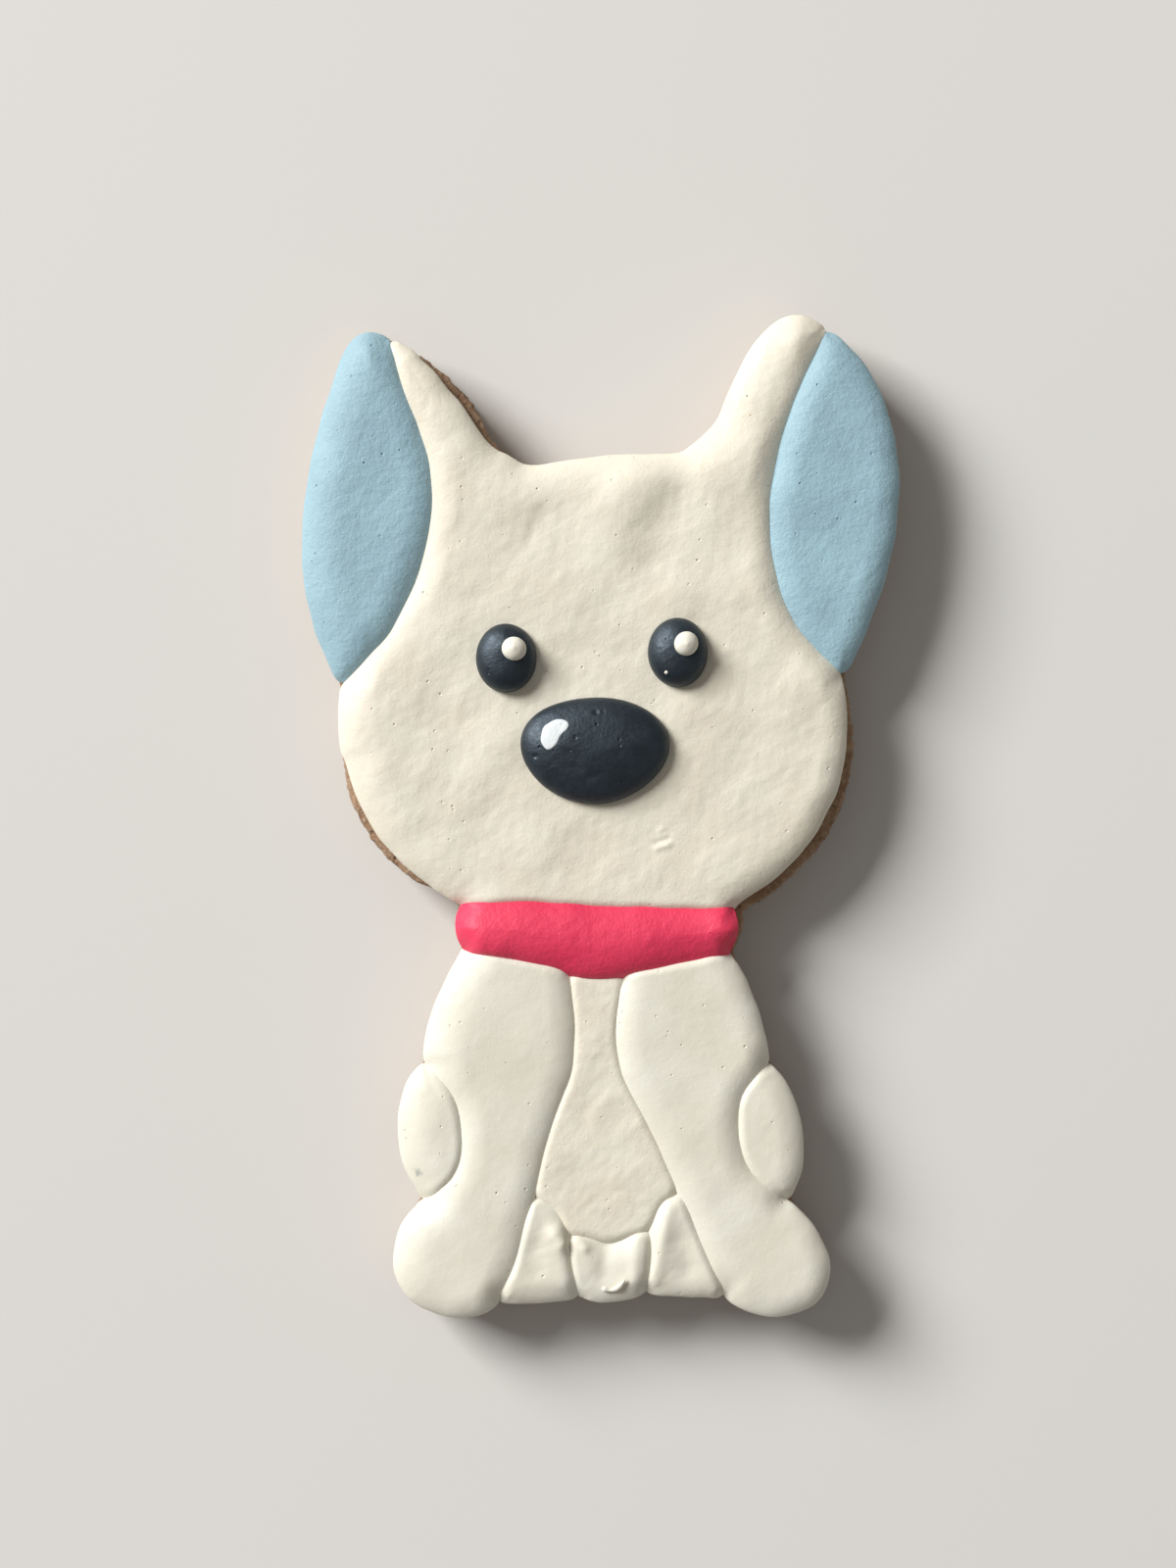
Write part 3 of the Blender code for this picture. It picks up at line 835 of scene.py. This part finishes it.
NOSE_PITS = [
    (0.0 + 4.3j, 0.2 + 4.3j, 0.2, -0.16),
    (0.9 + 4.4j, 0.9 + 4.4j, 0.14, -0.1),
    (-2.2 + 1.5j, -2.2 + 1.5j, 0.15, -0.13),
    (-6.7 - 0.6j, -6.6 - 0.6j, 0.22, -0.18),
    (2.7 - 1.9j, 3.5 - 2.0j, 0.5, -0.05),
    (-0.6 - 2.9j, 0.9 - 2.6j, 0.5, -0.06),
    (-2.4 - 1.7j, -1.4 - 2.2j, 0.45, -0.05),
]

# What each patch on the biscuit has besides its outline.
EXTRAS = {
    "head_icing": dict(bubbles=46, marks=HEAD_MARKS, sway=0.12, ripple=0.02),
    "chest_icing": dict(bubbles=4, marks=CHEST_MARKS, ripple=0.024),
    "collar_icing": dict(bubbles=2, marks=COLLAR_MARKS, sway=0.06),
    "tuft_icing": dict(marks=TUFT_MARKS),
    "hind_foot_icing_left": dict(bubbles=1, marks=LEFT_FOOT_MARKS),
    "hind_foot_icing_right": dict(bubbles=1, marks=RIGHT_FOOT_MARKS),
    "ear_icing_left": dict(bubbles=9, sway=0.07, ripple=0.009),
    "ear_icing_right": dict(bubbles=9, sway=0.07, ripple=0.009),
    "foreleg_icing_left": dict(bubbles=5, sway=0.06, ripple=0.006),
    "foreleg_icing_right": dict(bubbles=6, sway=0.06, ripple=0.006),
    "haunch_icing_left": dict(bubbles=2, sway=0.06, ripple=0.008),
    "haunch_icing_right": dict(bubbles=1, sway=0.06, ripple=0.008),
}


def ice_patches():
    """The flooded patches, each in place of its CAD solid. Returns the head's patch."""
    finishes = {"head": IVORY, "chest": IVORY, "ear": BLUE, "collar": CRIMSON}
    slots = {
        IVORY: "ivory_icing",
        BLUE: "blue_icing",
        CRIMSON: "crimson_icing",
        WHITE: "white_icing",
    }
    patches = flood(EXTRAS)
    for node, patch in patches.items():
        finish = finishes.get(node.split("_icing")[0], WHITE)
        step = FINE_STEP if node.startswith(("tuft", "hind")) else ICING_STEP
        name = "flooded_" + node.replace("_icing", "")
        show(name, patch.mesh(name, step), finish, slots[finish], node)
    pipe_tail(patches["tuft_icing"])
    return patches["head_icing"]


def measures(node):
    """A CAD solid's middle on the map, its width and the height of its top over the table."""
    low, high = (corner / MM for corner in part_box(node))
    return complex(low.x + high.x, low.y + high.y) / 2, high.x - low.x, high.z


# The domes of the face: the seed of each one's waves, its node, the width over which it rises from
# its side, its burst bubbles and its pits.
DOMES = [
    (310, "eye_left", 3.3, 3, []),
    (320, "eye_right", 3.3, 3, []),
    (340, "nose", 6.6, 6, NOSE_PITS),
]


def pipe_face(head):
    """The eyes and nose are domes on the head's icing, with white beads and a glint on them."""
    for seed, node, width, bubbles, pits in DOMES:
        side = Side(grow=0.1, lip=0.16, width=width)
        outline = smooth(outline_of(node), width=0.5)
        outline = grown(outline, side.grow + 0.06 * waves(outline, size=9.0, seed=seed))
        middle, _, level = measures(node)
        foot = head.top(np.array([middle]))[0]
        dome = Patch(
            outline,
            foot,
            level - foot,
            [(side, *spans(outline))],
            seed,
            sway=0.03,
            ripple=0.012,
            marks=[(middle + start, middle + end, *rest) for start, end, *rest in pits],
            bubbles=bubbles,
        )
        name = f"piped_{node}"
        show(name, dome.mesh(name, FINE_STEP), CHARCOAL, "charcoal_icing", node)
        if node == "nose":
            paint_glint(dome)
        else:
            drop_bead(node.replace("eye", "eye_bead"), dome, seed)


# The stray speck: its place from the middle of the right eye's bead, and its radius.
SPECK_OFFSET = -2.2 - 3.2j
SPECK_RADIUS = 0.21


def drop(name, node, eye, middle, radius, seed):
    """A dot of icing let fall on an eye: a ball flattened where it sits, with a faint point on top
    that leans a little. How far out it is and how high are the sine and the cosine of an angle
    that runs down from the top. All its measures are shares of its radius."""
    rings, corners, cut_off = 28, 44, 0.7 * np.pi
    oval, raised, tall = 0.02, 0.12, 0.78
    tip, tip_narrow, bend, bend_narrow = 0.05, 4.4, 0.07, 3.3
    level = eye.top(np.array([middle]))[0]
    down = np.linspace(0, cut_off, rings)[1:, None]
    round_about = np.linspace(0, 2 * np.pi, corners, endpoint=False)[None]
    out = radius * np.sin(down) * (1 + oval * np.sin(2 * round_about + seed))
    point = tip * radius * bell(tip_narrow * out / radius)
    up = level + raised * radius + tall * radius * np.cos(down) + point
    lean = bend * radius * bell(bend_narrow * out / radius) * np.exp(1j * seed)
    mesh = ball_mesh(name, in_space(middle + out * np.exp(1j * round_about) + lean, up))
    show(name, mesh, BRIGHT, "white_icing", node)


def drop_bead(node, eye, seed):
    """The bead that is an eye's highlight, and on the right eye a stray speck of the same icing."""
    middle, width, _ = measures(node)
    wider = 0.08
    name = node.replace("eye_bead", "dropped_bead")
    drop(name, node, eye, middle, width / 2 + wider, seed)
    if node == "eye_bead_right":
        drop("stray_speck", node, eye, middle + SPECK_OFFSET, SPECK_RADIUS, seed)


# The thread on the tuft follows the parabola from the first of these points to the last whose
# tangents there meet at the middle one.
TAIL = (0.2 - 53.0j, 1.7 - 53.9j, 2.8 - 51.9j)


def pipe_tail(tuft):
    """The thread of icing that a nozzle leaves as it is lifted off: a tube round a bent line that
    lies on the tuft, with round ends, thinner towards its end and lifted a little there."""
    count, corners = 24, 20
    thick, taper, swell, swell_turn = 0.3, 0.08, 0.07, 3 * np.pi
    blunt, least = 10, 0.02
    laid, lifted = 0.1, 0.3
    share = np.linspace(0, 1, count)
    line = (1 - share) ** 2 * TAIL[0] + 2 * share * (1 - share) * TAIL[1] + share**2 * TAIL[2]
    full = thick - taper * share + swell * np.cos(swell_turn * share)
    radius = full * np.sqrt(np.clip(1 - (2 * share - 1) ** blunt, least, 1))
    level = tuft.top(line) + laid + lifted * share**2
    ahead = np.gradient(line)
    side = 1j * ahead / np.abs(ahead)
    turn = np.linspace(0, 2 * np.pi, corners, endpoint=False)
    points = line[:, None] + (radius * side)[:, None] * np.cos(turn)
    rings = in_space(points, level[:, None] - radius[:, None] * np.sin(turn))
    show("piped_tail", ball_mesh("piped_tail", rings), WHITE, "white_icing", "tuft_icing")


# The glint: the spacing of its outline's points and of those inside it, the insets of its rings,
# how far it stands out of the nose, over what width it rises to that, its height at its rim and
# how far its wall runs down into the nose.
GLINT_RIM_STEP = 0.12
GLINT_STEP = 0.14
GLINT_INSETS = np.array([0.03, 0.09, 0.18, 0.3])
GLINT_HEIGHT = 0.1
GLINT_EDGE = 0.3
GLINT_LIP = 0.01
GLINT_SINK = 0.15


def paint_glint(nose):
    """A bean-shaped dab of white that follows the nose's dome and is proud of it, with a soft edge.
    Its long axis is half the angle of the mean of its points' squares, as complex numbers from
    their middle, and it is bent along that axis like a parabola."""
    outline = smooth(outline_of("nose_glint"), step=GLINT_RIM_STEP, width=0.3)
    middle = outline.mean()
    along = np.exp(0.5j * np.angle(((outline - middle) ** 2).mean()))
    flat = (outline - middle) / along
    bend, level_at = 0.16, 1.5
    outline = middle + along * (flat - 1j * bend * (flat.real**2 - level_at))
    outline = grown(outline, MEET + 0.07 * waves(outline, size=1.8, seed=7))
    points = inner_points(outline, GLINT_INSETS, GLINT_STEP)
    rim = len(outline)
    depth = np.maximum(depth_in(outline, points), 0)
    proud = GLINT_HEIGHT * Side(grow=0, lip=0, width=GLINT_EDGE).height(depth)
    top = in_space(points, nose.top(points) + proud + GLINT_LIP)
    wall = in_space(outline, nose.top(outline) - GLINT_SINK)[None]
    mesh = closed_mesh("dabbed_glint", top, triangles(points, rim), wall, triangles(outline, rim))
    show("dabbed_glint", mesh, COOL_WHITE, "white_icing", "nose_glint")


# The table, the light and the camera


def lay_table():
    """A plain pale table, a hair under the biscuit, as two faces in one plane would flicker."""
    half, lowered = 5000.0, 0.05 * MM
    corners = half * np.array([(-1, -1, 0), (1, -1, 0), (1, 1, 0), (-1, 1, 0)])
    mesh = mesh_of("table", corners, np.array([[0, 1, 2, 3]]))
    mesh.materials.append(plain_paint("pale_table_paint", "DEDCD8", 0.8))
    table = bpy.data.objects.new("table", mesh)
    table.location.z = -lowered
    bpy.context.scene.collection.objects.link(table)


def shine(name, place, size, power, colour):
    """A square soft box at a place in metres, its side in metres and its power in watts, facing the
    cookie."""
    lamp = bpy.data.lights.new(name, "AREA")
    lamp.size = size
    lamp.energy = power
    lamp.color = colour
    thing = bpy.data.objects.new(name, lamp)
    thing.location = place
    thing.rotation_euler = (-Vector(place)).to_track_quat("-Z", "Y").to_euler()
    bpy.context.scene.collection.objects.link(thing)


def light_scene():
    """Window light from the upper left, a weak fill from the lower right, and a dim even room."""
    shine("window", (-2.25, 1.58, 1.8), size=1.5, power=159.0, colour=(1.0, 0.998, 0.985))
    shine("fill", (1.8, -1.0, 1.8), size=1.8, power=2.5, colour=(1.0, 0.98, 0.95))
    world = bpy.data.worlds.new("room")
    world.use_nodes = True
    back = world.node_tree.nodes["Background"]
    back.inputs["Color"].default_value = (1.0, 0.97, 0.92, 1.0)
    back.inputs["Strength"].default_value = 0.18
    bpy.context.scene.world = world
    bpy.context.scene.view_settings.view_transform = "Standard"


def aim_camera():
    """Straight down, as high as it takes for the frame to be 176 mm tall at the iced face. The
    cookie stands 1.4 mm right of the frame's middle and 3.6 mm under it."""
    frame_height, face_height, lens, sensor = 176 * MM, 9 * MM, 85.0, 36.0
    aside, over = -1.4 * MM, 3.6 * MM
    camera = bpy.data.cameras.new("camera")
    camera.lens = lens
    camera.sensor_width = sensor
    thing = bpy.data.objects.new("camera", camera)
    thing.location = (aside, over, frame_height * lens / sensor + face_height)
    bpy.context.scene.collection.objects.link(thing)
    bpy.context.scene.camera = thing


bake_biscuit()
pipe_face(ice_patches())
lay_table()
light_scene()
aim_camera()
